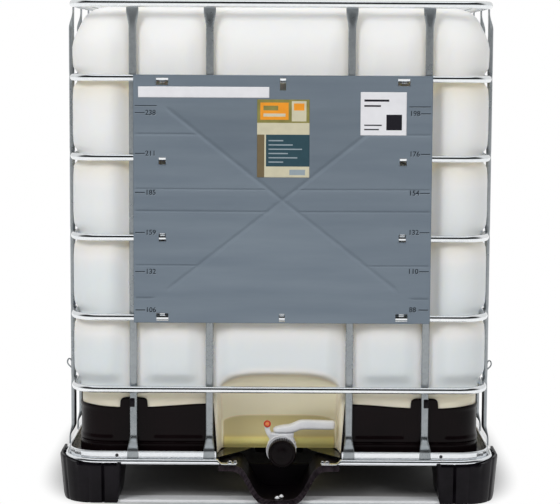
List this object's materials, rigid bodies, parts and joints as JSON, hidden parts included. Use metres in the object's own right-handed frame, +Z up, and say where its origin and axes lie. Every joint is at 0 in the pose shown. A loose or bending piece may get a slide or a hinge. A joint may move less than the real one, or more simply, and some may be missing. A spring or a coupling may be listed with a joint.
{
  "type": "intermediate bulk container",
  "caption": "Caged bulk liquid container: blow-moulded bottle in a welded tube cage on a footed pallet, with a lever valve at the bottom front and a screw lid on top.",
  "frame": {"origin": "on the floor, under the middle of the footprint", "axes": "+Z up, -Y towards the valve side, +X to the right seen from the valve side"},
  "size_m": [1, 1.2, 1.133],
  "materials": {
    "galvanised": "galvanised, satin",
    "plate": "blue-grey, satin",
    "natural_plastic": "translucent natural polyethylene",
    "black_plastic": "black, slightly glossy",
    "cap_plastic": "black",
    "lid_plastic": "black",
    "white_plastic": "white",
    "red_plastic": "red",
    "stem_steel": "turned",
    "rubber": "matt"
  },
  "bodies": {
    "container": {"top_rim": "galvanised", "ring_bar_1": "galvanised", "ring_bar_2": "galvanised", "ring_bar_3": "galvanised", "ring_bar_4": "galvanised", "ring_bar_5": "galvanised", "post_front_1": "galvanised", "post_front_2": "galvanised", "post_front_3": "galvanised", "post_front_4": "galvanised", "post_back_1": "galvanised", "post_back_2": "galvanised", "post_back_3": "galvanised", "post_back_4": "galvanised", "post_left_1": "galvanised", "post_left_2": "galvanised", "post_left_3": "galvanised", "post_left_4": "galvanised", "post_left_5": "galvanised", "post_left_6": "galvanised", "post_right_1": "galvanised", "post_right_2": "galvanised", "post_right_3": "galvanised", "post_right_4": "galvanised", "post_right_5": "galvanised", "post_right_6": "galvanised", "crossbar_front": "galvanised", "crossbar_back": "galvanised", "base_ring": "galvanised", "pallet_tray": "galvanised", "pallet_skid": "galvanised", "foot_front_left": "black_plastic", "foot_front_right": "black_plastic", "foot_back_left": "black_plastic", "foot_back_right": "black_plastic", "foot_front_middle": "black_plastic", "foot_back_middle": "black_plastic", "foot_left_middle": "black_plastic", "foot_right_middle": "black_plastic", "foot_centre": "black_plastic", "corner_guard_left": "black_plastic", "corner_guard_right": "black_plastic", "bottle": "natural_plastic", "label_plate": "plate", "valve_nut": "white_plastic", "valve_body": "white_plastic", "valve_gasket": "rubber"},
    "lid_seal": {"lid_gasket": "rubber"},
    "lid": {"fill_lid": "lid_plastic"},
    "valve_lever": {"valve_handle": "white_plastic", "valve_stem": "stem_steel", "valve_disc": "white_plastic"},
    "cap_washer": {"cap_seal": "rubber"},
    "cap": {"outlet_cap": "cap_plastic"},
    "pin": {"locking_pin": "red_plastic"}
  },
  "joints": [
    {"name": "lid_lift", "type": "slide", "parent": "container", "child": "lid_seal", "axis": [0, 0, 1], "range_m": [0, 0.1]},
    {"name": "lid_turn", "type": "hinge", "parent": "lid_seal", "child": "lid", "pos_m": [0, 0, 1.107], "axis": [0, 0, 1], "range_deg": [0, 540]},
    {"name": "valve_turn", "type": "hinge", "parent": "container", "child": "valve_lever", "pos_m": [0.007, -0.505, 0.107], "axis": [0, 0, -1], "range_deg": [0, 90]},
    {"name": "cap_pull", "type": "slide", "parent": "container", "child": "cap_washer", "axis": [0, -1, 0], "range_m": [0, 0.05]},
    {"name": "cap_turn", "type": "hinge", "parent": "cap_washer", "child": "cap", "pos_m": [0.007, -0.553, 0.107], "axis": [0, -1, 0], "range_deg": [0, 540]},
    {"name": "pin_pull", "type": "slide", "parent": "container", "child": "pin", "axis": [0, -1, 0], "range_m": [0, 0.03]}
  ]
}
